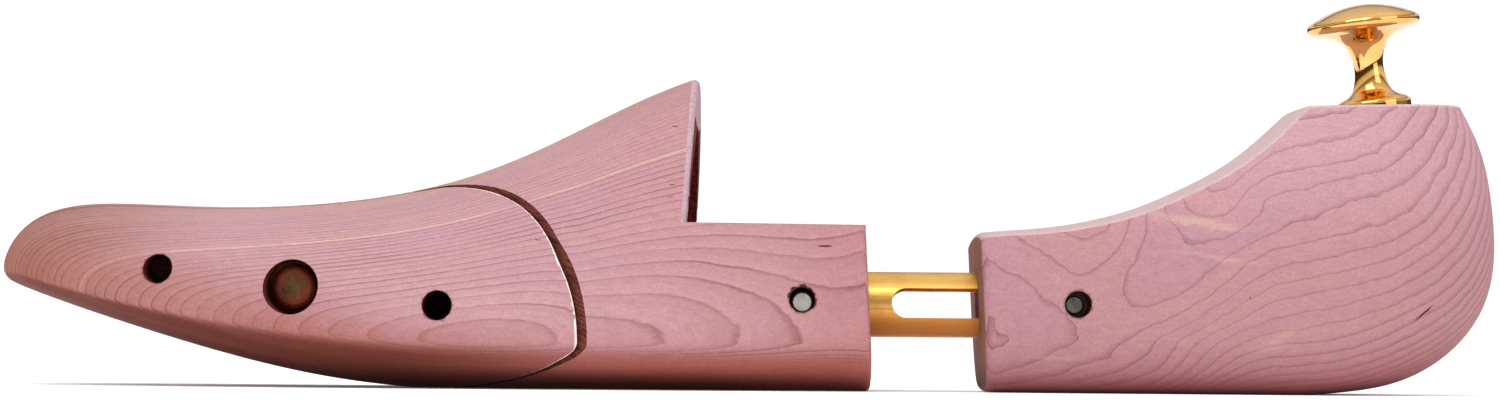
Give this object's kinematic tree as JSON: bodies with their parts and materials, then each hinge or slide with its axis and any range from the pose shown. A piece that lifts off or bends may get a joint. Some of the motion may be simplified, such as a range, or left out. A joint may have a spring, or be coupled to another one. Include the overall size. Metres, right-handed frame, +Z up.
{
  "type": "adjustable shoe tree",
  "caption": "Adjustable wooden shoe tree with a spread-out toe, a sprung heel block sliding on a slotted metal tube, and a turned metal pull knob.",
  "frame": {"origin": "under the middle of the overall box, on the surface it rests on", "axes": "+X from toe to heel, +Z up, -Y is the lateral side"},
  "size_m": [0.3191, 0.0841, 0.084],
  "materials": {
    "cedar": "sanded, unfinished aromatic cedar",
    "heel_cedar": "sanded, unfinished aromatic cedar",
    "dowel_wood": "plain turned wood",
    "screw_brass": "bright",
    "tube_brass": "satin",
    "knob_brass": "polished",
    "plain_steel": "dull",
    "spring_steel": "drawn wire"
  },
  "bodies": {
    "forepart": {"instep_block": "cedar", "front_guide_dowel": "dowel_wood", "rear_guide_dowel": "dowel_wood", "lateral_cheek_screw": "screw_brass", "medial_cheek_screw": "screw_brass", "lateral_screw_washer": "plain_steel", "medial_screw_washer": "plain_steel", "tube": "tube_brass", "forepart_pin": "plain_steel", "thrust_washer": "plain_steel"},
    "heel": {"heel_block": "heel_cedar", "heel_pin": "plain_steel", "knob": "knob_brass", "knob_stud": "plain_steel", "main_spring": "spring_steel"},
    "lateral_side": {"lateral_cheek": "cedar", "lateral_cheek_spring": "spring_steel"},
    "medial_side": {"medial_cheek": "cedar", "medial_cheek_spring": "spring_steel"}
  },
  "joints": [
    {"name": "heel_slide", "type": "slide", "parent": "forepart", "child": "heel", "axis": [-1, 0, 0], "range_m": [0, 0.0225], "stiffness_N_per_m": 1800, "springref_m": -0.005, "deforming": ["main_spring"]},
    {"name": "lateral_cheek_slide", "type": "slide", "parent": "forepart", "child": "lateral_side", "axis": [0, 1, 0], "range_m": [0, 0.0005], "stiffness_N_per_m": 2500, "springref_m": -0.002, "deforming": ["lateral_cheek_spring"]},
    {"name": "medial_cheek_slide", "type": "slide", "parent": "forepart", "child": "medial_side", "axis": [0, -1, 0], "range_m": [0, 0.0005], "stiffness_N_per_m": 2500, "springref_m": -0.002, "deforming": ["medial_cheek_spring"]}
  ]
}
